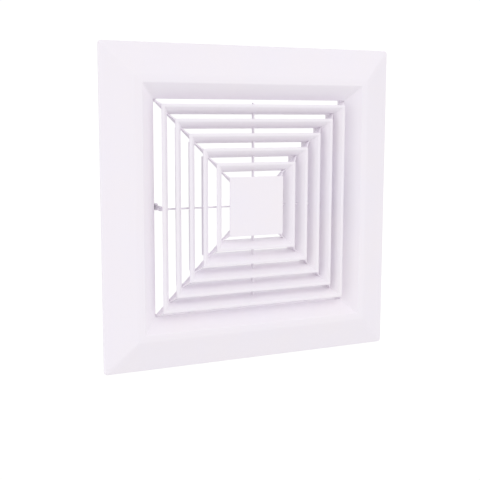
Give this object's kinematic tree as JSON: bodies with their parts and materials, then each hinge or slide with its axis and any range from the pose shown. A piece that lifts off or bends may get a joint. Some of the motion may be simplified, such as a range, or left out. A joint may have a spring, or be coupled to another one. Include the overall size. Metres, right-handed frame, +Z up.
{
  "type": "square ceiling air diffuser",
  "caption": "Square four-way ceiling air diffuser: sloped frame with a short duct neck, nested louvre rings, centre plate on a bar carrier, core held up by wire springs and able to drop for cleaning.",
  "frame": {"origin": "on the diffuser's centre line, at the lowest plane of the face, the crest of the frame", "axes": "+Z up into the duct with the face looking down along -Z, +X and +Y square to the sides of the frame; the springs are on the two sides met by the X axis"},
  "size_m": [0.3, 0.3, 0.048],
  "materials": {
    "white_moulding": "satin white moulded plastic",
    "white_louvre": "satin white moulded plastic",
    "carrier_moulding": "plain white moulded plastic",
    "spring_wire": "drawn spring wire",
    "zinc_steel": "bright zinc plated steel"
  },
  "bodies": {
    "frame": {"outer_frame": "white_moulding"},
    "core": {"centre_plate": "white_moulding", "louvre_ring_1": "white_louvre", "louvre_ring_2": "white_louvre", "louvre_ring_3": "white_louvre", "louvre_ring_4": "white_louvre", "louvre_ring_5": "white_louvre", "cross_bar_x": "carrier_moulding", "cross_bar_y": "carrier_moulding", "corner_bar_1": "carrier_moulding", "corner_bar_2": "carrier_moulding", "corner_bar_3": "carrier_moulding", "corner_bar_4": "carrier_moulding", "hub_cap": "carrier_moulding", "spring_post_left": "carrier_moulding", "spring_post_right": "carrier_moulding", "hub_screw_1": "zinc_steel", "hub_screw_2": "zinc_steel", "spring_pin_left": "zinc_steel", "spring_pin_right": "zinc_steel"},
    "spring_left_leg_1": {"spring_left_leg_1": "spring_wire"},
    "spring_left_leg_2": {"spring_left_leg_2": "spring_wire"},
    "spring_right_leg_1": {"spring_right_leg_1": "spring_wire"},
    "spring_right_leg_2": {"spring_right_leg_2": "spring_wire"}
  },
  "joints": [
    {"name": "core_drop", "type": "slide", "parent": "frame", "child": "core", "axis": [0, 0, -1], "range_m": [0, 0.02], "stiffness_N_per_m": 100, "springref_m": -0.03},
    {"name": "spring_left_leg_1_swing", "type": "hinge", "parent": "core", "child": "spring_left_leg_1", "pos_m": [-0.0943, 0, 0.0375], "axis": [-1, 0, 0], "range_deg": [0, 31.2]},
    {"name": "spring_left_leg_2_swing", "type": "hinge", "parent": "core", "child": "spring_left_leg_2", "pos_m": [-0.0943, 0, 0.0375], "axis": [1, 0, 0], "range_deg": [0, 31.2]},
    {"name": "spring_right_leg_1_swing", "type": "hinge", "parent": "core", "child": "spring_right_leg_1", "pos_m": [0.0943, 0, 0.0375], "axis": [1, 0, 0], "range_deg": [0, 31.2]},
    {"name": "spring_right_leg_2_swing", "type": "hinge", "parent": "core", "child": "spring_right_leg_2", "pos_m": [0.0943, 0, 0.0375], "axis": [-1, 0, 0], "range_deg": [0, 31.2]}
  ],
  "couplings": [
    {"joint": "spring_left_leg_1_swing", "follows": "core_drop", "rad_per_m": 27.15},
    {"joint": "spring_left_leg_2_swing", "follows": "core_drop", "rad_per_m": 27.15},
    {"joint": "spring_right_leg_1_swing", "follows": "core_drop", "rad_per_m": 27.15},
    {"joint": "spring_right_leg_2_swing", "follows": "core_drop", "rad_per_m": 27.15}
  ]
}
